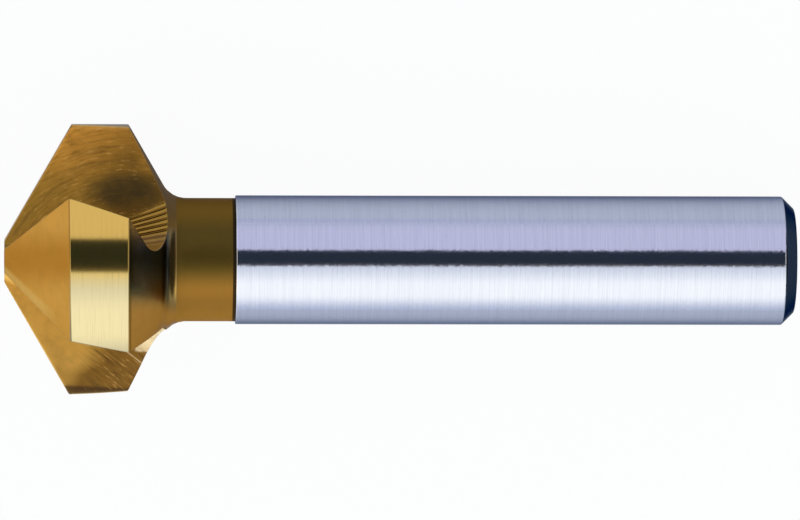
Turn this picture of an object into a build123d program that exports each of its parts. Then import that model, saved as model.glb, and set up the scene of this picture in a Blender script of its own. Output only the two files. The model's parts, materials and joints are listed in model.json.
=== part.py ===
from build123d import *
import os
from math import atan2, cos, degrees, radians, sin, sqrt, tan

# A three-flute countersink bit, turned and ground from one piece of tool steel.
# The tool is made along +X, from its tip at the origin to the end of its shank,
# and then laid down as it comes to rest on a flat surface.
# A "turn" is an angle about the tool's axis, in degrees: 0 is straight up (+Z),
# and it counts the way the tool turns when it cuts.

# Shank and neck
tool_length = 61.3
shank_diameter = 10.0
shank_chamfer = 0.95
shoulder_at = 17.9
neck_diameter = 9.57
neck_fillet = 2.0

# Head: a front cone that cuts, a cylindrical land and a back cone
head_diameter = 21.0
point_angle = 120.0
tip_diameter = 3.6
land_length = 4.58
back_cone_angle = 120.0

# Teeth: the turns of the first tooth's edges at the tip, at the front of the land and at its back
tooth_count = 3
cutting_edge_turns = (26.2, 26.5, 17.6)
heel_edge_turns = (-44.7, -36.7, -43.0)

# Lip relief: each tooth's front cone has an axis of its own, moved ahead of the cutting edge
relief_offset = 0.33
relief_lead = 30.0
relief_clearance = 2.0

# Flutes: the rim of the grinding wheel leaves a floor that rises to the neck in an arc,
# and its rounded corner leaves a gullet that widens the same way
wheel_radius = 52.5
floor_turn = 33.6
floor_lowest = 0.0
floor_lowest_at = -10.6
gullet_radius_at_tip = 0.65
gullet_growth = 0.185
flute_reach = 15.0
flute_stations = (-1.5, 2.0, 5.5, 9.0, 12.5, 16.0)

settling_passes = 6

head_radius = head_diameter / 2
neck_radius = neck_diameter / 2
shank_radius = shank_diameter / 2
tip_radius = tip_diameter / 2
tooth_pitch = 360 / tooth_count
point_slope = tan(radians(point_angle / 2))
land_front = (head_radius - tip_radius) / point_slope
land_back = land_front + land_length
neck_start = land_back + (head_radius - neck_radius) / tan(radians(back_cone_angle / 2))
shank_rim_at = tool_length - shank_chamfer
turning_axis = Axis((0, 0, 0), (-1, 0, 0))


def on_tool(along, radius, turn):
    """The point at a distance along the tool, at a radius and a turn about its axis."""
    return Vector(along, radius * sin(radians(turn)), radius * cos(radians(turn)))


def edge_points(turns, tooth=0):
    """Three points of an edge of one tooth: at the tip and at both ends of the land."""
    places = ((0, tip_radius), (land_front, head_radius), (land_back, head_radius))
    return [on_tool(*place, turn + tooth * tooth_pitch) for place, turn in zip(places, turns)]


def turned_blank():
    """The tool before its teeth are ground: one revolved profile, still square in front."""
    outline = Polyline(
        (0, 0),
        (0, head_radius),
        (land_back, head_radius),
        (neck_start, neck_radius),
        (shoulder_at, neck_radius),
        (shoulder_at, shank_radius),
        (shank_rim_at, shank_radius),
        (tool_length, shank_radius - shank_chamfer),
        (tool_length, 0),
        close=True,
    )
    profile = make_face(outline)
    foot = profile.vertices().sort_by_distance((neck_start, neck_radius))[0]
    return revolve(fillet(foot, neck_fillet), Axis.X)


def front_waste():
    """What is ground away in front of one tooth, over its third of a turn.

    The cone that stays has the full point angle. Its axis is moved ahead of the
    cutting edge, so that the cone meets that edge and drops away towards the heel."""
    inset = relief_offset * cos(radians(relief_lead))
    apex_at = (inset - tip_radius) / point_slope
    outside = head_radius + relief_clearance
    base_at = outside / point_slope
    base_radius = (base_at - apex_at) * point_slope
    cone_outline = Polyline((apex_at, 0), (base_at, base_radius), (base_at, 0), close=True)
    ring_outline = Polyline((apex_at, 0), (apex_at, outside), (base_at, outside), (base_at, 0), close=True)
    cone = revolve(make_face(cone_outline), Axis.X)
    cone = Pos(on_tool(0, relief_offset, cutting_edge_turns[1] + relief_lead)) * cone
    # The revolved third ends at a turn of 90, and is moved to end in the middle of a flute.
    third = revolve(make_face(ring_outline), Axis.X, revolution_arc=tooth_pitch)
    flute_middle = (cutting_edge_turns[1] + heel_edge_turns[1] + tooth_pitch) / 2
    return third.rotate(turning_axis, flute_middle - 90) - cone


def wall_line(wall_points, along):
    """The line a*y + b*z = c in which a flat wall through three points crosses the tool at a distance."""
    normal = (wall_points[1] - wall_points[0]).cross(wall_points[2] - wall_points[0]).normalized()
    return normal.Y, normal.Z, normal.dot(wall_points[0]) - normal.X * along


def floor_line(along, above=0.0):
    """The flute's floor at a distance along the tool: its height follows the wheel's rim."""
    rise = wheel_radius - sqrt(wheel_radius**2 - (along - floor_lowest_at) ** 2)
    return sin(radians(floor_turn)), cos(radians(floor_turn)), floor_lowest + rise + above


def crossing(first, second):
    """The point (y, z) where two lines a*y + b*z = c meet."""
    a, b, c = first
    d, e, f = second
    return (c * e - b * f) / (a * e - b * d), (a * f - c * d) / (a * e - b * d)


def flute_section(along):
    """The first tooth's flute, square to the tool: heel wall, mouth, rake face, gullet and floor."""
    rake = wall_line(edge_points(cutting_edge_turns), along)
    heel = wall_line(edge_points(heel_edge_turns, tooth=1), along)
    floor = floor_line(along)
    mouth = floor_line(along, above=flute_reach)
    outline = Polyline(
        crossing(heel, floor),
        crossing(heel, mouth),
        crossing(rake, mouth),
        crossing(rake, floor),
        close=True,
    )
    face = make_face(outline)
    gullet = face.vertices().sort_by_distance(crossing(rake, floor))[0]
    gullet_radius = gullet_radius_at_tip + gullet_growth * max(along, 0)
    return Plane.YZ.offset(along) * fillet(gullet, gullet_radius)


def countersink():
    """The blank with a flute cut in front of each tooth and each tooth's cone relieved."""
    flute = loft([flute_section(along) for along in flute_stations])
    tool = turned_blank()
    for cut in (flute, front_waste()):
        for tooth in range(tooth_count):
            tool -= cut.rotate(turning_axis, tooth * tooth_pitch)
    return tool


def surface_under():
    """The flat surface on which the tool comes to rest, as a plane in the tool's own frame.

    The tool lies over one flute: on the front corner of a cutting edge, on the back
    corner of the next tooth's heel, and on the rim of its shank. The lowest point of the
    rim depends on the plane and the plane on that point, so a few passes settle both."""
    cutting_corner = edge_points(cutting_edge_turns, tooth=1)[1]
    heel_corner = edge_points(heel_edge_turns, tooth=2)[2]
    lowest_turn = 180.0
    for _ in range(settling_passes):
        rim = on_tool(shank_rim_at, shank_radius, lowest_turn)
        upward = (cutting_corner - rim).cross(heel_corner - rim).normalized()
        lowest_turn = degrees(atan2(-upward.Y, -upward.Z))
    return Plane(origin=rim, x_dir=(1, 0, 0), z_dir=upward)


def laid_down(tool):
    """The tool at rest: its lowest points at Z = 0, the middle of its box over the origin."""
    resting = surface_under().to_local_coords(tool)
    middle = resting.bounding_box().center()
    return Pos(-middle.X, -middle.Y, 0) * resting


os.makedirs("parts", exist_ok=True)
export_step(laid_down(countersink()).solid(), "parts/countersink_bit.step")
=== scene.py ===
import json
import bmesh
import bpy
import numpy as np
from mathutils import Matrix, Vector


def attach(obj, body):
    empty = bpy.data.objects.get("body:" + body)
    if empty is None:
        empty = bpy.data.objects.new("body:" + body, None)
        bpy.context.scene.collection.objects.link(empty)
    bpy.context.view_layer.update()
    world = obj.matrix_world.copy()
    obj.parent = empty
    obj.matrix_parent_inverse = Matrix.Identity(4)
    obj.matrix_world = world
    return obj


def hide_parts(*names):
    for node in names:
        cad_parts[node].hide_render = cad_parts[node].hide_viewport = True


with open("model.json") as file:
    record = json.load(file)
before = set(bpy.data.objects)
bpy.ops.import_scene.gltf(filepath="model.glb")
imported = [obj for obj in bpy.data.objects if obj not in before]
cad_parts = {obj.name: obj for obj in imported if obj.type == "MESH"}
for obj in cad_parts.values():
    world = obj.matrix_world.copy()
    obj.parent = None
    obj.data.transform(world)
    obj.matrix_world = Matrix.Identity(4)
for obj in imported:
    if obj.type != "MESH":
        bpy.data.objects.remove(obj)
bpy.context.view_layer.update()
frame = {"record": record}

# ---------------------------------------------------------------------------
# The tool is a three-flute countersink bit, ground from one bar of tool steel. It lies on
# a flat surface over one flute, held up by two corners of its teeth and by the rim of its
# shank. Its own frame is in millimetres, and these directions lay that frame down.
# ---------------------------------------------------------------------------
mm = 0.001
tool_length = 61.3
shank_chamfer = 0.95
shoulder_at = 17.9
roll_at_rest = 10.7296
shank_mount = frame["record"]["mounts"][0]
mount_along = (shoulder_at + tool_length - shank_chamfer) / 2

tool_axis = np.array(shank_mount["axis"], float)
tool_axis /= np.linalg.norm(tool_axis)
row_across = np.array([0.0, 1.0, 0.0])
row_over = np.cross(tool_axis, row_across)
cos_roll, sin_roll = np.cos(np.radians(roll_at_rest)), np.sin(np.radians(roll_at_rest))
tool_upward = row_over * cos_roll + row_across * sin_roll
tool_sideways = row_across * cos_roll - row_over * sin_roll


def laid_down(along, sideways, upward):
    """Row-frame place, in metres, of points given in the tool's own frame, in millimetres:
    the shank's mount, plus the distance along the axis, plus the two distances across it."""
    place = np.array(shank_mount["pos_m"], float)
    place = place + mm * (np.asarray(along) - mount_along)[..., None] * tool_axis
    place = place + mm * np.asarray(sideways)[..., None] * tool_sideways
    return place + mm * np.asarray(upward)[..., None] * tool_upward


# ---------------------------------------------------------------------------
# The camera stands 620 mm from the tool, over its upper tooth and a little towards the
# tip. It looks nearly square on to the axis, and the tool fills the frame.
# ---------------------------------------------------------------------------
camera_along, camera_distance = 6.0, 620.0
camera_aim = 30.7
camera_lens = 359.5
camera_tilt = -0.11

camera_data = bpy.data.cameras.new("camera")
camera_data.lens = camera_lens
camera_data.sensor_width = 36.0
camera = bpy.data.objects.new("camera", camera_data)
bpy.context.scene.collection.objects.link(camera)
bpy.context.scene.camera = camera
camera_place = Vector(laid_down(camera_along, 0.0, camera_distance))
camera_back = (camera_place - Vector(laid_down(camera_aim, 0.0, 0.0))).normalized()
tilt = np.radians(camera_tilt)
camera_up = Vector(np.cos(tilt) * tool_sideways + np.sin(tilt) * tool_axis)
camera_right = camera_up.cross(camera_back).normalized()
camera_turn = Matrix((camera_right, camera_back.cross(camera_right), camera_back)).transposed()
camera.matrix_world = Matrix.Translation(camera_place) @ camera_turn.to_4x4()

# ---------------------------------------------------------------------------
# The blank is turned from one bar of tool steel: a head with a cylindrical land and a
# conical back, a neck that runs into it in a small fillet, and a plain round shank.
# ---------------------------------------------------------------------------
shank_radius = 5.0
neck_radius = 4.785
neck_fillet = 2.0
head_radius = 10.5
tip_radius = 1.8
land_length = 4.58
half_angle = np.radians(60.0)
point_slope = np.tan(half_angle)
back_normal = np.array([np.sin(half_angle), np.cos(half_angle)])
land_front = (head_radius - tip_radius) / point_slope
land_back = land_front + land_length
fillet_height = neck_radius + neck_fillet
fillet_drop = (fillet_height - head_radius) * back_normal[1]
fillet_along = land_back + (neck_fillet - fillet_drop) / back_normal[0]
fillet_start = fillet_along - neck_fillet * back_normal[0]


def blank_radius(along):
    """Radius of the head and neck at a distance along the tool: the land's radius, then the
    back cone's straight line, then the lower side of the fillet's circle, then the neck's radius."""
    cone = head_radius - (along - land_back) * back_normal[0] / back_normal[1]
    circle = fillet_height - np.sqrt(np.clip(neck_fillet**2 - (along - fillet_along) ** 2, 0, None))
    stretches = [along <= land_back, along <= fillet_start, along <= fillet_along]
    return np.select(stretches, [head_radius, cone, circle], neck_radius)


# ---------------------------------------------------------------------------
# Three flutes are ground into the head. Each has a flat rake face, a gullet left by
# the wheel's rounded corner, a floor left by its rim, and the flat heel of the next
# tooth. Each tooth's front cone is then ground about an axis of its own, for relief.
# ---------------------------------------------------------------------------
tooth_pitch = 120.0
cutting_edge_turns = (26.2, 26.5, 17.6)
heel_edge_turns = (-44.7, -36.7, -43.0)
relief_offset, relief_lead = 0.33, 30.0
wheel_radius, floor_lowest, floor_lowest_at = 52.5, 0.0, -10.6
floor_turn = 33.6
gullet_at_tip, gullet_growth = 0.65, 0.185
heel_corner_radius = 0.15
wall_reach = 16.0


def across(turn):
    """The unit direction across the tool at a turn: its sine sideways and its cosine upward."""
    return np.stack([np.sin(np.radians(turn)), np.cos(np.radians(turn))], axis=-1)


def wall_of(turns, beside):
    """A flat wall through three edge points, at the tip and at both ends of the land, as the
    line n.p = offset - drift * along that it leaves in a section. n is on the side of a turn."""
    places = ((0.0, tip_radius), (land_front, head_radius), (land_back, head_radius))
    corners = [np.append(along, radius * across(turn)) for (along, radius), turn in zip(places, turns)]
    normal = np.cross(corners[1] - corners[0], corners[2] - corners[0])
    normal /= np.linalg.norm(normal[1:]) * np.sign(normal[1:] @ across(beside))
    return normal[1:], normal @ corners[0], normal[0]


flute_middle = (cutting_edge_turns[1] + heel_edge_turns[1] + tooth_pitch) / 2
rake_normal, rake_offset, rake_drift = wall_of(cutting_edge_turns, flute_middle)
next_heel_turns = [turn + tooth_pitch for turn in heel_edge_turns]
heel_normal, heel_offset, heel_drift = wall_of(next_heel_turns, flute_middle)
floor_normal = across(floor_turn)
floor_across = across(floor_turn + 90.0)


def floor_height(along):
    """The floor's distance from the axis: its lowest, plus the rise of the wheel's rim, which
    is the radius less the root of its square minus the distance from the lowest place squared."""
    return floor_lowest + wheel_radius - np.sqrt(wheel_radius**2 - (along - floor_lowest_at) ** 2)


def rounded_corner(normal_in, offset_in, normal_out, offset_out, radius):
    """An arc that rounds the corner of two lines n.p = offset, both with n into the flute: its
    centre lies a radius inside both, and its ends are straight down from there on the lines."""
    lines = np.stack([normal_in, normal_out])
    offsets = np.stack([offset_in + radius, offset_out + radius], axis=-1)
    centre = offsets @ np.linalg.inv(lines).T
    first = np.arctan2(-normal_in[1], -normal_in[0])
    last = np.arctan2(-normal_out[1], -normal_out[0])
    sweep = (last - first + np.pi) % (2 * np.pi) - np.pi
    return centre, first, sweep


def outward(normal, edge_turn):
    """The unit direction along a wall's line, away from the axis."""
    along_wall = np.array([normal[1], -normal[0]])
    return along_wall * np.sign(along_wall @ across(edge_turn))


rake_outward = outward(rake_normal, cutting_edge_turns[1])
heel_outward = outward(heel_normal, next_heel_turns[1])


def flute_path(along, s):
    """The flute's outline in a section, down the rake face and up the heel: s from 0 to 1 is
    the rake's line, to 2 the gullet's arc, to 3 the floor's line, to 4 a small arc and to 5
    the heel's line."""
    rake_at = rake_offset - rake_drift * along
    heel_at = heel_offset - heel_drift * along
    floor_at = floor_height(along)
    gullet = gullet_at_tip + gullet_growth * along
    small = np.full_like(along, heel_corner_radius)
    centre, first, sweep = rounded_corner(rake_normal, rake_at, floor_normal, floor_at, gullet)
    corner, corner_first, corner_sweep = rounded_corner(
        floor_normal, floor_at, heel_normal, heel_at, small
    )

    def arc(middle, radius, start, turn, t):
        angle = start + turn * t
        return middle + radius[..., None] * np.stack([np.cos(angle), np.sin(angle)], axis=-1)

    t = (s - np.clip(np.floor(s), 0, 4))[..., None]
    zero, one = np.zeros_like(s), np.ones_like(s)
    rake_foot = arc(centre, gullet, first, sweep, zero)
    floor_start = arc(centre, gullet, first, sweep, one)
    floor_end = arc(corner, small, corner_first, corner_sweep, zero)
    heel_foot = arc(corner, small, corner_first, corner_sweep, one)
    stretches = [
        rake_foot + wall_reach * (1 - t) * rake_outward,
        arc(centre, gullet, first, sweep, t[..., 0]),
        floor_start + (floor_end - floor_start) * t,
        arc(corner, small, corner_first, corner_sweep, t[..., 0]),
        heel_foot + wall_reach * t * heel_outward,
    ]
    return np.select([(s < k + 1)[..., None] for k in range(4)], stretches[:4], stretches[4])


tiny = 1e-6
end_halvings = 46


def deepest(along):
    """Where flute_path comes nearest to the axis, as a value of s: on the floor, where the
    distance across it passes through nothing."""
    start = flute_path(along, np.full_like(along, 2.0)) @ floor_across
    end = flute_path(along, np.full_like(along, 3.0)) @ floor_across
    return 2.0 + np.clip(-start / (end - start), tiny, 1 - tiny)


relief_inset = relief_offset * np.cos(np.radians(relief_lead))
cone_apex = (relief_inset - tip_radius) / point_slope
cone_centre_turn = cutting_edge_turns[1] + relief_lead


def outside(along, points, tooth):
    """How far points lie outside a tooth's outer surface: the larger of the distance from the
    relieved cone's axis less the cone's radius, and that from the tool's less the blank's."""
    centre = relief_offset * across(cone_centre_turn + tooth * tooth_pitch)
    from_cone = np.linalg.norm(points - centre, axis=-1) - (along - cone_apex) * point_slope
    return np.maximum(from_cone, np.linalg.norm(points, axis=-1) - blank_radius(along))


def flute_ends(along, inset):
    """The values of s where flute_path comes in through the first tooth's surface and goes out
    through the next one's, an inset below them, each found by halving the stretch between the
    mouth and the deepest place."""
    ends = []
    for mouth, tooth in ((0.0, 0), (5.0, 1)):
        far, near = np.full_like(along, mouth), deepest(along)
        for _ in range(end_halvings):
            middle = (far + near) / 2
            beyond = outside(along, flute_path(along, middle), tooth) > -inset
            far, near = np.where(beyond, middle, far), np.where(beyond, near, middle)
        ends.append(near)
    return ends


def turn_of(points):
    """The turn of a point about the axis, in degrees."""
    return np.degrees(np.arctan2(points[..., 0], points[..., 1]))


def outer_radius(along, turn):
    """Radius of the first tooth's outer surface at a turn: the smaller of the blank's and the
    relieved cone's, which is the offset times the swing's cosine, plus the root of the cone's
    radius squared less the offset times the swing's sine, squared."""
    swing = np.radians(turn - cone_centre_turn)
    cone = (along - cone_apex) * point_slope
    reach = relief_offset * np.cos(swing) + np.sqrt(cone**2 - (relief_offset * np.sin(swing)) ** 2)
    return np.minimum(reach, blank_radius(along))


# ---------------------------------------------------------------------------
# The ground surface of the bit, in one closed skin of rows round the tool and columns
# along it. Each sharp edge is a narrow rounded strip, as stoning and coating leave it, and
# the flute floors keep the ribs of the dressed wheel, which fan out towards the neck.
# ---------------------------------------------------------------------------
edge_width = 0.045
edge_support = 2.4
shallow_share, narrow_share = 0.12, 0.3
outer_columns, rake_columns, gullet_columns = 44, 10, 60
floor_columns, corner_columns, heel_columns = 130, 4, 12
cone_rows, land_rows, back_rows, neck_rows = 18, 12, 46, 12
back_crowding = 1.6
rib_pitch, rib_height, rib_flattening = 0.52, 0.04, 0.35
rib_wander, rib_wander_rate = 0.35, 1.7
rib_fan, rib_fan_at = 0.085, 12.0
ribs_from, ribs_full, ribs_stop_in, rib_full_depth = 1.6, 2.0, 0.02, 0.15
exit_halvings, corner_passes = 50, 6


def flute_exit():
    """Where the floor has risen to the neck's surface, found by halving."""
    low, high = land_back, shoulder_at
    for _ in range(exit_halvings):
        middle = (low + high) / 2
        below = floor_height(middle) < blank_radius(np.array(middle))
        low, high = (middle, high) if below else (low, middle)
    return low


def ribs(along, points):
    """Height of the floor's ribs: a cosine of the distance across the floor over the pitch,
    with its crests flattened and its grooves narrowed by a share of its square. The distance
    is first divided by 1 + fan * how far along the place is, and the phase wanders a little."""
    spread = points @ floor_across / (1 + rib_fan * (along - rib_fan_at))
    wave = np.cos(2 * np.pi * spread / rib_pitch + rib_wander * np.sin(rib_wander_rate * spread))
    return wave - rib_flattening * (wave**2 - 0.5)


def even(count):
    """The middles of so many equal shares of 1."""
    return (np.arange(count) + 0.5) / count


def shares_between_edges(count, support, first):
    """Shares from 0 to 1: a supporting one close to either end, and so many evenly between."""
    inner = np.linspace(first, 1 - first, count)
    return np.concatenate([[0.0, support], inner, [1 - support, 1.0]])


# How far along the tool each row of the surface lies, as a share of its stretch
exit_at = flute_exit()
cone_share = shares_between_edges(cone_rows, 0.006, 0.03)
land_share = shares_between_edges(land_rows, 0.012, 0.05)
back_steps = np.concatenate([[0.0, 0.008], np.linspace(0.03, 1.0, back_rows)])
back_share = 1 - (1 - back_steps) ** back_crowding
neck_share = np.linspace(0, 1, neck_rows + 1)[1:]

# The columns of one tooth's outside, as shares from heel to cutting edge, and of the flute
tooth_share = np.concatenate([[0, 0], even(outer_columns), [1, 1]])
flute_counts = (rake_columns, gullet_columns, floor_columns, corner_columns, heel_columns)
tooth_columns, flute_columns = len(tooth_share), sum(flute_counts) + 2
third_columns = tooth_columns + flute_columns


def corner_along(turn):
    """Where a tooth's relieved cone meets the land at a turn: the distance from the cone's axis
    to the land's surface there, over the cone's slope, from the cone's apex."""
    from_axis = head_radius * across(turn) - relief_offset * across(cone_centre_turn)
    return cone_apex + np.linalg.norm(from_axis, axis=-1) / point_slope


def third_of_surface(along_for_column):
    """Places of one tooth and the flute ahead of it, for rows at the distances given for each
    column. The columns go round the outer surface by turn, and then down and up the flute's
    path between its ends. Past the flute's end they close up to one line on the neck."""
    along_outer = along_for_column[:, :tooth_columns]
    along_flute = along_for_column[:, tooth_columns:]

    def depth_of(along):
        near = flute_path(along, deepest(along))
        return np.clip(blank_radius(along) - np.linalg.norm(near, axis=-1), 0, None)

    def ends_at(along, step):
        return flute_ends(along, step * np.minimum(edge_width, shallow_share * depth_of(along)))

    cut_s, heel_s = ends_at(along_outer, 0.0)
    cut_turn = turn_of(flute_path(along_outer, cut_s))
    heel_turn = turn_of(flute_path(along_outer, heel_s)) - tooth_pitch
    cut_turn = np.where(along_outer >= exit_at, floor_turn, cut_turn)
    heel_turn = np.where(along_outer >= exit_at, floor_turn - tooth_pitch, heel_turn)
    one_width = np.minimum(edge_width, narrow_share * (cut_turn - heel_turn))
    inset_turn = np.degrees(one_width / outer_radius(along_outer, heel_turn))
    start = heel_turn + edge_support * inset_turn
    end = cut_turn - edge_support * inset_turn
    turn = start + (end - start) * tooth_share
    turn[:, 0] = (heel_turn + inset_turn)[:, 0]
    turn[:, -1] = (cut_turn - inset_turn)[:, -1]
    outer = outer_radius(along_outer, turn)[..., None] * across(turn)

    first_s, last_s = ends_at(along_flute, 1.0)
    start_s, end_s = ends_at(along_flute, edge_support)
    stretch = np.concatenate([np.full(count, k) for k, count in enumerate(flute_counts)])
    share = np.concatenate([even(count) for count in flute_counts])
    low = np.clip(stretch, start_s[:, 1:-1], end_s[:, 1:-1])
    high = np.clip(stretch + 1, start_s[:, 1:-1], end_s[:, 1:-1])
    inner = low + (high - low) * share
    s = np.concatenate([first_s[:, :1], inner, last_s[:, -1:]], axis=1)
    flute = flute_path(along_flute, s)
    rising = np.clip((s - ribs_from) / (ribs_full - ribs_from), 0, 1)
    falling = np.clip((3 - s) / ribs_stop_in, 0, 1)
    shallow = np.clip(depth_of(along_flute) / rib_full_depth, 0, 1)
    rib = ribs(along_flute, flute) * rising * falling * shallow
    flute = flute + rib_height * rib[..., None] * floor_normal
    seam = blank_radius(along_flute)[..., None] * across(floor_turn)
    flute = np.where((along_flute >= exit_at)[..., None], seam, flute)
    return np.concatenate([outer, flute], axis=1), turn, s, rib


def corner_of_columns():
    """For each column, where its front corner lies: on the outer surface where the cone meets
    the land, and in the flute on a straight blend from the cutting edge's corner to the next
    heel's."""
    corner = np.full(tooth_columns, land_front)
    for _ in range(corner_passes):
        cut_s, heel_s = flute_ends(corner, 0.0)
        cut_turn = turn_of(flute_path(corner, cut_s))
        heel_turn = turn_of(flute_path(corner, heel_s)) - tooth_pitch
        corner = corner_along(heel_turn + (cut_turn - heel_turn) * tooth_share)
    return np.concatenate([corner, np.linspace(corner[-1], corner[0], flute_columns)])


corners = corner_of_columns()
cone_part = edge_width + (corners - 2 * edge_width) * cone_share[:, None]
land_part = corners + edge_width + (land_back - corners - 2 * edge_width) * land_share[:, None]
back_stretch, neck_stretch = exit_at - land_back - edge_width, shoulder_at - edge_width - exit_at
back_part = land_back + edge_width + back_stretch * back_share[:, None] + 0 * corners
neck_part = exit_at + neck_stretch * neck_share[:, None] + 0 * corners
tip_part = np.zeros((1, third_columns))
along_rows = np.concatenate([tip_part, cone_part, land_part, back_part, neck_part])
section, outer_turn, path_s, rib_wave = third_of_surface(along_rows)

# Which way each patch was ground, in millimetres along and across the grinding lines
wheel_mark_centre, wheel_mark_radius = (9.5, -3.4), 12.0
rake_mark_slope = np.radians(37.0)


def grinding_lines(along, points, turn, s):
    """Distance along and across the grinding lines. They run round the outer surface, in
    circles about one centre on the heel, at a slope down the rake face and the gullet, and
    lengthways on the floor. On a cone of 60 degrees the slant is twice the distance along."""
    outer = slice(0, tooth_columns)
    slant = np.where(along < corners - 0.5 * edge_width, 2 * along, along)
    slant = np.where(along > land_back, 2 * along, slant)
    lines = np.zeros(along.shape + (2,))
    lines[:, outer, 0] = np.radians(turn) * np.linalg.norm(points[:, outer], axis=-1)
    lines[:, outer, 1] = slant[:, outer]
    inner = slice(tooth_columns, None)
    u, p = along[:, inner], points[:, inner]
    to_mark = np.stack([u - wheel_mark_centre[0], p[..., 0] - wheel_mark_centre[1]], axis=-1)
    reach = np.linalg.norm(to_mark, axis=-1)
    bearing = np.arctan2(to_mark[..., 0], to_mark[..., 1])
    heel_lines = np.stack([bearing * wheel_mark_radius, reach], axis=-1)
    drop = p @ rake_outward
    cos_mark, sin_mark = np.cos(rake_mark_slope), np.sin(rake_mark_slope)
    rake_lines = [u * cos_mark + drop * sin_mark, drop * cos_mark - u * sin_mark]
    rake_lines = np.stack(rake_lines, axis=-1)
    floor_lines = np.stack([u, p @ floor_across], axis=-1)
    choice = [(s < 2)[..., None], (s < 3)[..., None]]
    lines[:, inner] = np.select(choice, [rake_lines, floor_lines], heel_lines)
    return lines


def turned_by(points, turn):
    """Points across the tool, turned about its axis."""
    sine, cosine = np.sin(np.radians(turn)), np.cos(np.radians(turn))
    return points @ np.array([[cosine, -sine], [sine, cosine]])


# The step up to the shank, the shank, its chamfer and its end: how far along each row lies,
# its radius, and 1 where it runs along the middle of an edge
soft = edge_support * edge_width
slope_step = edge_width * np.sqrt(0.5)
chamfer_support, plain_margin, plain_rows = 0.15, 1.5, 20
shank_stop = tool_length - shank_chamfer
end_radius = shank_radius - shank_chamfer
plain_along = np.linspace(shoulder_at + plain_margin, shank_stop - plain_margin, plain_rows)
shank_profile = np.array([
    (shoulder_at, neck_radius + edge_width, 0),
    (shoulder_at, shank_radius - edge_width, 1),
    (shoulder_at + edge_width, shank_radius, 1),
    (shoulder_at + soft, shank_radius, 0),
    *[(along, shank_radius, 0) for along in plain_along],
    (shank_stop - soft, shank_radius, 0),
    (shank_stop - edge_width, shank_radius, 1),
    (shank_stop + slope_step, shank_radius - slope_step, 1),
    (shank_stop + chamfer_support, shank_radius - chamfer_support, 0),
    (tool_length - chamfer_support, end_radius + chamfer_support, 0),
    (tool_length - slope_step, end_radius + slope_step, 1),
    (tool_length, end_radius - edge_width, 1),
    (tool_length, end_radius - soft, 0),
    (tool_length, 0.0, 0),
])

ring_columns = 3 * third_columns
around = np.concatenate([turned_by(section, tooth_pitch * tooth) for tooth in range(3)], axis=1)
unit = around[-1] / np.linalg.norm(around[-1], axis=-1, keepdims=True)
shank_along = shank_profile[:, 0, None] + np.zeros(ring_columns)
shank_around = shank_profile[:, 1, None, None] * unit

tip_distance = np.linalg.norm(around[0], axis=-1, keepdims=True)
tip_rings = [around[0] * share for share in (0, 1 - soft / tip_distance, 1 - edge_width / tip_distance)]
tip_along = np.zeros((len(tip_rings), ring_columns))
along_all = np.concatenate([tip_along, np.tile(along_rows, (1, 3))[1:], shank_along])
around_all = np.concatenate([np.array(tip_rings), around[1:], shank_around])


def over_tool(third, on_tip, on_shank):
    """A value for every place of the skin: a third's rows three times round, with two more
    rows on the flat tip, which are its first row times a share, and the shank's rows."""
    ring = np.concatenate([third] * 3, axis=1)
    return np.concatenate([ring[:1] * on_tip, ring[:1] * on_tip, ring, on_shank])


shank_turn = np.radians(turn_of(unit)) + np.zeros_like(shank_along)
shank_lines = np.stack([shank_turn * shank_radius, shank_along], axis=-1)
lines_all = over_tool(grinding_lines(along_rows, section, outer_turn, path_s), 1, shank_lines)
seeds = np.repeat(np.arange(3.0), third_columns) + np.zeros_like(along_all)
grind_lines = np.concatenate([lines_all, seeds[..., None]], axis=-1)

# Which of the flute's walls a place is on: the rake face with its gullet, the floor, the heel
walls_third = np.zeros(along_rows.shape + (3,))
for wall, (first, last) in enumerate(((0, 2), (2, 3), (3, 6))):
    walls_third[:, tooth_columns:, wall] = (path_s >= first) & (path_s < last)
walls_third[along_rows >= exit_at - tiny] = 0
walls_all = over_tool(walls_third, 0, np.zeros(shank_along.shape + (3,)))

# Where the edges run: along both sides of each flute, and round the front and back of the land
edge_fades_before = 0.6
first_land_row = 1 + len(cone_part)
first_back_row = first_land_row + len(land_part)
edge_third = np.zeros(along_rows.shape)
edge_third[:, [0, tooth_columns - 1, tooth_columns, -1]] = 1.0
edge_third[along_rows > exit_at - edge_fades_before] = 0
edge_rows = [1, first_land_row - 1, first_land_row, first_back_row - 1, first_back_row]
edge_third[edge_rows, :tooth_columns] = 1.0
edge_all = over_tool(edge_third, 0, shank_profile[:, 2, None] + np.zeros(ring_columns))

rib_third = np.zeros(along_rows.shape)
rib_third[:, tooth_columns:] = rib_wave
rib_all = over_tool(rib_third, 0, np.zeros(shank_along.shape))

# Each place in the frame of its own tooth, or of the whole tool behind the land
whole_tool = np.concatenate([along_all[..., None], around_all], axis=-1)
tooth_third = np.concatenate([along_rows[..., None], section], axis=-1)
tooth_all = over_tool(tooth_third, 0, whole_tool[-len(shank_profile):])
behind_land = (walls_all.sum(axis=-1) == 0) & (along_all > land_back + 2 * edge_width)
tooth_all = np.where(behind_land[..., None], whole_tool, tooth_all)

rows, columns = along_all.shape
places = laid_down(along_all, around_all[..., 0], around_all[..., 1]).reshape(-1, 3)
index = np.arange(rows * columns).reshape(rows, columns)
following = np.roll(index, -1, axis=1)
quads = np.stack([index[:-1], following[:-1], following[1:], index[1:]], axis=-1).reshape(-1, 4)
on_shank = np.arange(rows - 1) >= rows - len(shank_profile)
quad_finish = on_shank[:, None] + np.zeros(columns)

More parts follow.
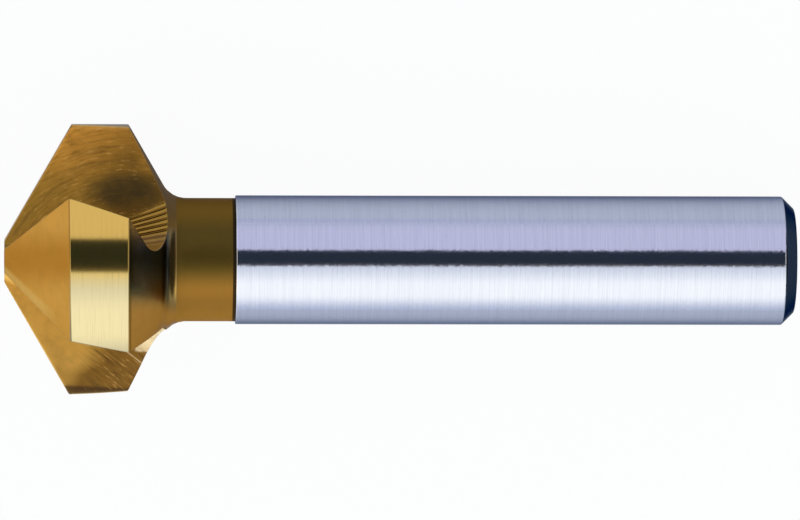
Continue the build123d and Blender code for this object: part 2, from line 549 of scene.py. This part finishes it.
mesh = bpy.data.meshes.new("countersink")
mesh.from_pydata(places.tolist(), [], quads.tolist())
for name, kind, values in (
    ("grind_lines", "FLOAT_VECTOR", grind_lines),
    ("walls", "FLOAT_VECTOR", walls_all),
    ("on_tooth", "FLOAT_VECTOR", tooth_all),
    ("rib", "FLOAT", rib_all),
    ("edge", "FLOAT", edge_all),
):
    layer = mesh.attributes.new(name, kind, "POINT")
    field = "vector" if kind == "FLOAT_VECTOR" else "value"
    layer.data.foreach_set(field, np.ravel(values).astype(np.float32))
mesh.polygons.foreach_set("material_index", quad_finish.astype(np.int32).ravel())
mesh.polygons.foreach_set("use_smooth", np.ones(len(quads), bool))

same_place = 1e-7
shell = bmesh.new()
shell.from_mesh(mesh)
bmesh.ops.remove_doubles(shell, verts=shell.verts, dist=same_place)
bmesh.ops.recalc_face_normals(shell, faces=shell.faces)
shell.to_mesh(mesh)
shell.free()
countersink_bit = bpy.data.objects.new("countersink_bit_ground", mesh)
bpy.context.scene.collection.objects.link(countersink_bit)
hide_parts("countersink_bit")
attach(countersink_bit, "root")


# ---------------------------------------------------------------------------
# The gold coat. Head and neck carry a few thousandths of a millimetre of hard titanium
# nitride, laid on in a vacuum after grinding. It is the colour of gold and lets each grinding
# line show. Its colour also holds painted light and shade: brown deep in the flutes as painted
# shade, pale where bright screens would shine in it as painted highlights, and darker on top of the neck.
# ---------------------------------------------------------------------------
class Signal:
    """A socket of a shader's tree that takes part in sums: each operator adds its Math node."""

    def __init__(self, tree, socket=None):
        self.tree = tree
        self.socket = socket

    def node(self, kind, settings=None, output=0, **sockets):
        """A new node: its settings are set first, then its sockets, named with _ for a space."""
        made = self.tree.nodes.new(kind)
        for name, value in (settings or {}).items():
            setattr(made, name, value)
        for name, value in sockets.items():
            numbered = name[1:].isdigit()
            self.join(made.inputs[int(name[1:]) if numbered else name.replace("_", " ")], value)
        return Signal(self.tree, made.outputs[output])

    def join(self, target, value):
        """Gives a socket a link to another signal, or a plain value."""
        if isinstance(value, Signal):
            self.tree.links.new(value.socket, target)
        elif hasattr(target.default_value, "__len__") and len(target.default_value) == 4:
            target.default_value = (*value, 1.0) if len(value) == 3 else value
        else:
            target.default_value = value

    def maths(self, operation, *values):
        sockets = {f"i{k}": value for k, value in enumerate(values)}
        return self.node("ShaderNodeMath", {"operation": operation}, **sockets)

    def __add__(self, other):
        return self.maths("ADD", self, other)

    def __sub__(self, other):
        return self.maths("SUBTRACT", self, other)

    def __rsub__(self, other):
        return self.maths("SUBTRACT", other, self)

    def __mul__(self, other):
        return self.maths("MULTIPLY", self, other)

    def __truediv__(self, other):
        return self.maths("DIVIDE", self, other)

    def __neg__(self):
        return self * -1

    __radd__ = __add__
    __rmul__ = __mul__

    def unsigned(self):
        """This signal without its sign."""
        return self.maths("ABSOLUTE", self)

    def capped(self):
        """This signal, or 1 where it is more."""
        return self.maths("MINIMUM", self, 1.0)

    def between(self, low, high):
        """0 below low, 1 above high, and a smooth step from one to the other."""
        mapping = {"interpolation_type": "SMOOTHSTEP"}
        return self.node("ShaderNodeMapRange", mapping, Value=self, From_Min=low, From_Max=high)

    def mixed(self, first, second):
        """first where this signal is 0 and second where it is 1, for colours."""
        colours = {"i6": first, "i7": second}
        return self.node("ShaderNodeMix", {"data_type": "RGBA"}, output=2, i0=self, **colours)


def new_finish(name):
    """A material whose only nodes are its output and its shader, and a signal to build on."""
    material = bpy.data.materials.new(name)
    material.use_nodes = True
    return material, Signal(material.node_tree), material.node_tree.nodes["Principled BSDF"]


def parts_of(signal, name):
    """The three numbers of one of the mesh's own attributes, as signals."""
    found = signal.node("ShaderNodeAttribute", {"attribute_name": name}, output=1)
    separate = signal.node("ShaderNodeSeparateXYZ", Vector=found).socket.node
    return [Signal(signal.tree, output) for output in separate.outputs]


def number_of(signal, name):
    """A single number of the mesh's own attributes."""
    return signal.node("ShaderNodeAttribute", {"attribute_name": name}, output=2)


seed_spacing = 7.3


def grinding(signal, stretch, fineness, detail=2.0):
    """Noise drawn out along the grinding lines, with its fineness in lumps to a millimetre: the
    distance along the lines is divided by the stretch, and each tooth has its own slice."""
    run, over, seed = parts_of(signal, "grind_lines")
    drawn = {"X": run * (fineness / stretch), "Y": over * fineness, "Z": seed * seed_spacing}
    place = signal.node("ShaderNodeCombineXYZ", **drawn)
    return signal.node("ShaderNodeTexNoise", Vector=place, Scale=1.0, Detail=detail, Roughness=0.6)


def cloud(signal, fineness, detail=2.0):
    """Soft noise that is fixed to the tool, with about so many lumps to a metre."""
    place = signal.node("ShaderNodeTexCoord", output=3)
    look = {"Scale": fineness, "Detail": detail, "Roughness": 0.55}
    return signal.node("ShaderNodeTexNoise", Vector=place, **look)


def painted(body, mask, colour, most=1.0):
    """A body's colour, moved towards another one by a mask, and by most of the way at most."""
    return (mask * most).mixed(body, colour)


gold_finish, coat, gold_shader = new_finish("gold_coat")
on_rake, on_floor, on_heel = parts_of(coat, "walls")
along, sideways, upward = parts_of(coat, "on_tooth")
flute_seed = parts_of(coat, "grind_lines")[2]
rib = number_of(coat, "rib")
edge_core = (0.75, 1.0)
edge = number_of(coat, "edge").between(*edge_core)

# The parts of the head, each 1 on its own part. A part that ends in an edge ends in its middle.
corner_soft, front_shift = 0.04, 0.08
front_at = land_front + front_shift
neck_starts = (13.24, 13.34)
on_outside = 1 - (on_rake + on_floor + on_heel).capped()
past_cone = along.between(front_at - corner_soft, front_at + corner_soft)
past_land = along.between(land_back - corner_soft, land_back + corner_soft)
on_land = on_outside * past_cone * (1 - past_land)
on_back = past_land * on_outside
on_neck = along.between(*neck_starts)
off_neck = 1 - on_neck

# Grinding lines, from fine to coarse, short flecks among them, and soft clouds in the coat
fine = grinding(coat, stretch=30.0, fineness=9.0)
coarse = grinding(coat, stretch=14.0, fineness=2.6)
flecks = grinding(coat, stretch=5.0, fineness=4.5, detail=3.0)
lumps = cloud(coat, fineness=260.0)
patches = cloud(coat, fineness=700.0, detail=3.0)

# The front cone is painted deepest in colour down its middle and lighter at its sides, as a painted
# reflection, with a painted highlight beside the heel near the tip, and the land is painted pale
# towards its cutting edge, as a painted highlight. Here and below, a pair is where a change begins
# and where it is full, in millimetres.
cone_gold, cone_side_gold, cone_highlight_gold = (0.62, 0.265, 0.040), (0.86, 0.42, 0.080), (1.0, 0.60, 0.16)
land_gold, land_highlight_pale = (0.75, 0.49, 0.105), (0.55, 0.46, 0.27)
cone_sides, light_ends, land_side = (0.3, 3.0), (2.5, 4.6), (0.2, 2.6)
heel_lean, heel_shift, heel_strip = 0.9, 1.6, (0.8, 1.3)
body = sideways.unsigned().between(*cone_sides).mixed(cone_gold, cone_side_gold)
beside_heel = 1 - (sideways + along * heel_lean + heel_shift).between(*heel_strip)
body = painted(body, beside_heel * (1 - along.between(*light_ends)), cone_highlight_gold, most=0.7)
body = painted(body, on_land, (-sideways).between(*land_side).mixed(land_gold, land_highlight_pale))

# The neck is painted browner on top than below, where it lightens in two steps: painted shade on top and
# painted light below
back_gold, root_brown = (0.56, 0.27, 0.060), (0.145, 0.078, 0.014)
neck_gold, neck_middle = (0.50, 0.24, 0.034), (0.26, 0.125, 0.020)
neck_brown, neck_dark = (0.19, 0.099, 0.012), (0.100, 0.065, 0.011)
back_upper, neck_upper, neck_lower, neck_foot = (2.0, 3.5), (2.0, 4.0), (0.2, 2.6), (3.0, 5.0)
# The back cone's upper side is painted brown, a painted shade over its reflection
body = painted(body, on_back, sideways.between(*back_upper).mixed(back_gold, root_brown))
neck = sideways.between(*neck_upper).mixed(neck_dark, neck_brown)
neck = painted(neck, (-sideways).between(*neck_lower), neck_middle)
neck = painted(neck, (-sideways).between(*neck_foot), neck_gold)
body = painted(body, on_neck, neck)

# The back cone is dark in the shade of the land, and darkest where the fillet begins. Here
# and below, most is how far a colour gives way to another at most.
back_olive, back_grey = (0.17, 0.155, 0.070), (0.14, 0.195, 0.20)
fillet_gap, fillet_gold = (0.035, 0.03, 0.02), (0.50, 0.31, 0.085)
root_starts, root_lower = (12.2, 12.6), (2.6, 5.0)
shade_middle, shade_side = 0.7, (1.3, 3.5)
grey_starts, grey_side = (9.6, 11.2), (-2.4, -1.0)
root_gap_starts, fillet_starts = (12.0, 12.3), (12.65, 12.85)
root_dark = along.between(*root_starts) * (1 - (-sideways).between(*root_lower))
body = painted(body, root_dark * off_neck, root_brown, most=0.9)
shaded = 1 - (sideways + shade_middle).unsigned().between(*shade_side)
greyer = along.between(*grey_starts) * sideways.between(*grey_side)
shade = greyer.mixed(back_olive, back_grey)
body = painted(body, shaded * on_back * off_neck, shade, most=0.92)
shaded_root = shaded * off_neck * on_outside
body = painted(body, shaded_root * along.between(*root_gap_starts), fillet_gap, most=0.8)
body = painted(body, shaded_root * along.between(*fillet_starts), fillet_gold, most=0.9)

# The rake face turns brown towards the land's back corner, and has a dark outer edge
rake_gold, rake_brown, rake_edge_brown = (0.92, 0.54, 0.115), (0.33, 0.165, 0.022), (0.055, 0.026, 0.011)
brown_lean, brown_behind, brown_outside, rake_edge = 0.525, (9.4, 12.2), (7.6, 8.9), (9.45, 9.75)
out_on_rake = sideways * float(rake_outward[0]) + upward * float(rake_outward[1])
browning = (along + out_on_rake * brown_lean).between(*brown_behind)
browning = browning + out_on_rake.between(*brown_outside) * 0.5
rake = browning.capped().mixed(rake_gold, rake_brown)
rake = painted(rake, out_on_rake.between(*rake_edge), rake_edge_brown, most=0.8)
body = painted(body, on_rake, rake)

# The heel is painted gold high up and duller and brown deep in the flute, a painted shade, and a
# little lighter at its back rim, a painted highlight
heel_gold, heel_dull, heel_brown = (0.66, 0.31, 0.045), (0.38, 0.205, 0.030), (0.17, 0.09, 0.013)
heel_height, heel_length, heel_top = (5.0, 9.6), (4.5, 10.5), (7.5, 10.5)
rim_starts, rim_height = (9.8, 11.0), (6.2, 7.2)
heel = sideways.between(*heel_height).mixed(heel_dull, heel_gold)
lit_rim = along.between(*rim_starts) * sideways.between(*rim_height) * 0.5
deep = along.between(*heel_length) * (1 - sideways.between(*heel_top) * 0.5)
heel = painted(heel, deep * (1 - lit_rim), heel_brown, most=0.80)
body = painted(body, on_heel, heel)

# The ribs of the floor are painted light on their crests and brown in their grooves: a painted highlight and
# a painted shade
rib_crest_highlight, rib_groove_shade = (0.42, 0.24, 0.042), (0.17, 0.085, 0.013)
rib_flank, rib_shows = (0.15, 0.85), (0.0, 0.6)
ribbed = (rib * 0.5 + 0.5).between(*rib_flank).mixed(rib_groove_shade, rib_crest_highlight)
body = painted(body, (on_floor + rib.unsigned()).between(*rib_shows), ribbed)

# A bright patch on the rake of the lower flute is a painted reflection, and a pale line beside it on each
# rake is a painted highlight
pale_reflection = (1.0, 0.80, 0.48)
patch_starts, patch_ends, lower_flute = (10.05, 10.3), (6.60, 6.80), (1.4, 1.6)
line_lean, line_shift, line_side, line_starts, line_ends = 0.73, 0.21, (0.03, 0.09), (9.3, 9.5), (10.7, 10.9)
reflection_patch = on_rake * along.between(*patch_starts) * (1 - out_on_rake.between(*patch_ends))
body = painted(body, reflection_patch * flute_seed.between(*lower_flute), pale_reflection, most=0.92)
beside_line = out_on_rake - along * line_lean + line_shift
highlight_line = 1 - beside_line.unsigned().between(*line_side)
highlight_line = highlight_line * along.between(*line_starts) * (1 - along.between(*line_ends))
body = painted(body, highlight_line * on_rake, pale_reflection, most=0.7)

# A dark oval deep on the heel is a painted shadow, its rim broken up by the clouds
dark_streak_and_shadow = (0.050, 0.036, 0.014)
oval_along, oval_height, oval_length, oval_width, oval_rim = 9.5, 5.2, 3.0, 1.5, (0.3, 2.0)
far_along, far_up = (along - oval_along) / oval_length, (sideways - oval_height) / oval_width
shadow_oval = 1 - (far_along * far_along + far_up * far_up + patches * 0.9).between(*oval_rim)
body = painted(body, shadow_oval * on_heel, dark_streak_and_shadow, most=0.88)

# Flute walls are streaked and flecked along the grinding lines. Here a pair is a noise level.
fleck_gold = (0.80, 0.46, 0.12)
worn_along, worn_out = (5.0, 8.0), (6.2, 6.8)
streak_level, lump_level, fleck_level, pit_level = (0.50, 0.66), (0.30, 0.60), (0.56, 0.72), (0.54, 0.70)
line_level, patch_level = (0.45, 0.75), (0.40, 0.75)
on_walls = (on_heel + on_rake).capped()
worn_rake = on_rake * along.between(*worn_along) * out_on_rake.between(*worn_out)
streak = coarse.between(*streak_level) * (on_heel * 0.35 + worn_rake * 0.6)
body = painted(body, streak * lumps.between(*lump_level), dark_streak_and_shadow, most=0.75)
bright_share, pit_share = on_heel * 0.45 + worn_rake * 0.75, on_heel * 0.50 + worn_rake * 0.75
body = painted(body, flecks.between(*fleck_level) * bright_share * (1 - shadow_oval), fleck_gold)
body = painted(body, (1 - flecks).between(*pit_level) * pit_share, heel_brown)
line_depth = 0.28 - on_outside * 0.20 - on_rake * (1 - worn_rake) * 0.20
body = painted(body, fine.between(*line_level) * line_depth, dark_streak_and_shadow)
patch_depth = (on_walls * 0.15 + 0.10) * (1 - on_land)
body = painted(body, patches.between(*patch_level) * patch_depth, heel_brown)

# The neck ends in a black line at the shoulder, a painted shade in the corner of the step. The land's
# edges are painted brown at its front corner and just behind its back corner, a painted shade, and
# pale elsewhere, a painted highlight
shoulder_shade_black, edge_shade_brown, edge_highlight = (0.01, 0.008, 0.005), (0.16, 0.10, 0.02), (0.85, 0.66, 0.30)
black_starts = (shoulder_at - 0.30, shoulder_at - 0.20)
front_starts, front_ends = (land_front - 0.20, land_front - 0.10), (land_front + 0.2, land_front + 0.3)
behind_starts, behind_ends = (land_back + 0.02, land_back + 0.06), (land_back + 0.16, land_back + 0.24)
body = painted(body, along.between(*black_starts), shoulder_shade_black, most=0.9)
at_front = edge * along.between(*front_starts) * (1 - along.between(*front_ends))
behind = along.between(*behind_starts) * (1 - along.between(*behind_ends))
body = painted(body, (at_front + behind * on_outside).capped(), edge_shade_brown, most=0.6)
body = painted(body, edge * (1 - at_front) * (1 - past_land), edge_highlight, most=0.2)
coat.join(gold_shader.inputs["Base Color"], body)

# The rake, the heel, the neck and the back's upper side look less like metal, and each ground face has a
# gloss of its own
upper_back = on_back * sideways.between(*back_upper) * off_neck
metal = 1 - on_neck * 0.12 - on_rake * 0.82 - on_heel * 0.15 - upper_back * 0.6
dull = on_heel * 0.14 + on_rake * 0.20 + on_neck * 0.26 + on_back * 0.02 + upper_back * 0.4
dull = dull - on_land * 0.05
coat.join(gold_shader.inputs["Metallic"], metal)
gold_shader.inputs["Specular Tint"].default_value = (0.55, 0.48, 0.42, 1)
coat.join(gold_shader.inputs["Roughness"], 0.14 + fine * 0.06 + dull)
ground = fine * 0.6 + coarse * 0.4
relief = coat.node("ShaderNodeBump", Strength=0.35, Distance=0.00001, Height=ground)
coat.join(gold_shader.inputs["Normal"], relief)

# ---------------------------------------------------------------------------
# The bare shank. It is ground steel without a coat, bright all round, with fine turning
# marks round it. Its chamfer and its end are painted dark navy, a painted dark reflection,
# and its rim at the shoulder carries a painted highlight.
# ---------------------------------------------------------------------------
steel_finish, bare, steel_shader = new_finish("ground_steel")
steel, steel_line, painted_rim_highlight = (0.56, 0.57, 0.66), (0.44, 0.45, 0.54), (0.95, 0.92, 0.88)
chamfer_navy_reflection = (0.03, 0.042, 0.065)
chamfer_end_starts, end_edges_start = (shank_stop, shank_stop + 0.06), (shank_stop - 0.4, shank_stop - 0.3)
fine_level, mark_level = (0.3, 0.75), (0.5, 0.8)
fine = grinding(bare, stretch=60.0, fineness=8.0)
coarse = grinding(bare, stretch=40.0, fineness=1.3)
marks = grinding(bare, stretch=4.0, fineness=5.0, detail=3.0)
along = parts_of(bare, "on_tooth")[0]
edge = number_of(bare, "edge")
# The chamfer and the end are painted dark navy as a painted reflection, and the shoulder's rim gets a
# painted highlight
on_chamfer_end = along.between(*chamfer_end_starts)
lined = fine.between(*fine_level) * 0.4 + coarse * 0.2 + marks.between(*mark_level) * 0.2
body = painted(lined.mixed(steel, steel_line), on_chamfer_end, chamfer_navy_reflection)
body = painted(body, edge * (1 - along.between(*end_edges_start)), painted_rim_highlight, most=0.5)
bare.join(steel_shader.inputs["Base Color"], body)
steel_shader.inputs["Metallic"].default_value = 1.0
steel_shader.inputs["Specular Tint"].default_value = (0.30, 0.34, 0.42, 1)
bare.join(steel_shader.inputs["Roughness"], 0.07 + fine * 0.08 + on_chamfer_end * 0.15)
turned = fine * 0.1 + marks * 0.6
relief = bare.node("ShaderNodeBump", Strength=0.5, Distance=0.00005, Height=turned)
bare.join(steel_shader.inputs["Normal"], relief)

mesh.materials.append(gold_finish)
mesh.materials.append(steel_finish)

# ---------------------------------------------------------------------------
# The studio: a white sheet under the tool, a bright white screen on one side of it and a
# dimmer, bluish one on the other, with a narrow dark gap between them over the tool.
# ---------------------------------------------------------------------------
sheet_size = 4.0
white_share, mirrored_share = 0.95, 0.2
half = sheet_size / 2
sheet_corners = [(-half, -half, 0), (half, -half, 0), (half, half, 0), (-half, half, 0)]
floor_mesh = bpy.data.meshes.new("floor")
floor_mesh.from_pydata(sheet_corners, [], [(0, 1, 2, 3)])
floor = bpy.data.objects.new("floor", floor_mesh)
bpy.context.scene.collection.objects.link(floor)
sheet_finish, sheet, sheet_shader = new_finish("white_sheet")
sheet_shader.inputs["Base Color"].default_value = (0.66, 0.73, 0.83, 1)
sheet_shader.inputs["Roughness"].default_value = 1.0
sheet_shader.inputs["Specular IOR Level"].default_value = 0.0
light_path = sheet.node("ShaderNodeLightPath").socket.node.outputs
straight = Signal(sheet.tree, light_path["Is Camera Ray"])
glossy = Signal(sheet.tree, light_path["Is Glossy Ray"])
mirrored = glossy + Signal(sheet.tree, light_path["Is Transmission Ray"])
white = sheet.node("ShaderNodeEmission", Color=(1.0, 1.0, 1.0), Strength=1.0)
share = straight * white_share + mirrored.capped() * mirrored_share
plain = Signal(sheet.tree, sheet_shader.outputs[0])
blend = sheet.node("ShaderNodeMixShader", i0=share, i1=plain, i2=white)
sheet.join(sheet.tree.nodes["Material Output"].inputs["Surface"], blend)
floor_mesh.materials.append(sheet_finish)

world = bpy.data.worlds.new("studio")
bpy.context.scene.world = world
world.use_nodes = True
sky = Signal(world.node_tree)


def share_along(direction):
    """How much of the way a ray of the world goes points along a direction: their dot product."""
    ray = sky.node("ShaderNodeTexCoord", output=0)
    product = {"operation": "DOT_PRODUCT"}
    return sky.node("ShaderNodeVectorMath", product, output=1, i0=ray, i1=tuple(direction))


# The screens stand round the tool's axis: a swing in degrees, 0 over the upper tooth and
# less than 0 on the white side. Each pair is where a change begins and where it is full.
white_near, white_screen, white_foot = (1.08, 1.15, 1.20), (1.66, 1.70, 1.58), (0.80, 0.88, 1.04)
blue_screen, blue_foot, all_white = (0.88, 0.88, 1.09), (0.66, 0.72, 0.88), (1.0, 1.0, 1.0)
gap_dark, gap_fringe = (0.028, 0.040, 0.060), (0.085, 0.075, 0.075)
end_light, end_dark = (0.95, 0.90, 0.85), (0.03, 0.03, 0.035)
white_rise, white_fall, blue_fall, screens_meet = (8.0, 48.0), (64.0, 101.0), (52.0, 80.0), (4.0, 6.0)
gap_starts, gap_ends, fringe_ends, below_tool = (-11.5, -10.0), (16.5, 18.0), (-8.5, -5.5), (110.0, 150.0)
gap_closes, dark_end = (0.36, 0.46), (0.66, 0.78)
swing = sky.maths("ARCTAN2", share_along(tool_sideways), share_along(tool_upward)) * (180 / np.pi)
lengthways = share_along(tool_axis)
white = (-swing).between(*white_rise).mixed(white_near, white_screen)
white = painted(white, (-swing).between(*white_fall), white_foot)
blue = swing.between(*blue_fall).mixed(blue_screen, blue_foot)
light = swing.between(*screens_meet).mixed(white, blue)
light = painted(light, swing.unsigned().between(*below_tool), all_white)
gap = swing.between(*fringe_ends).mixed(gap_fringe, gap_dark)
gap = painted(gap, lengthways.unsigned().between(*gap_closes), end_light)
light = painted(light, swing.between(*gap_starts) * (1 - swing.between(*gap_ends)), gap)
light = painted(light, lengthways.between(*dark_end), end_dark)
sky.join(world.node_tree.nodes["Background"].inputs["Color"], light)

bpy.context.scene.view_settings.view_transform = "Standard"
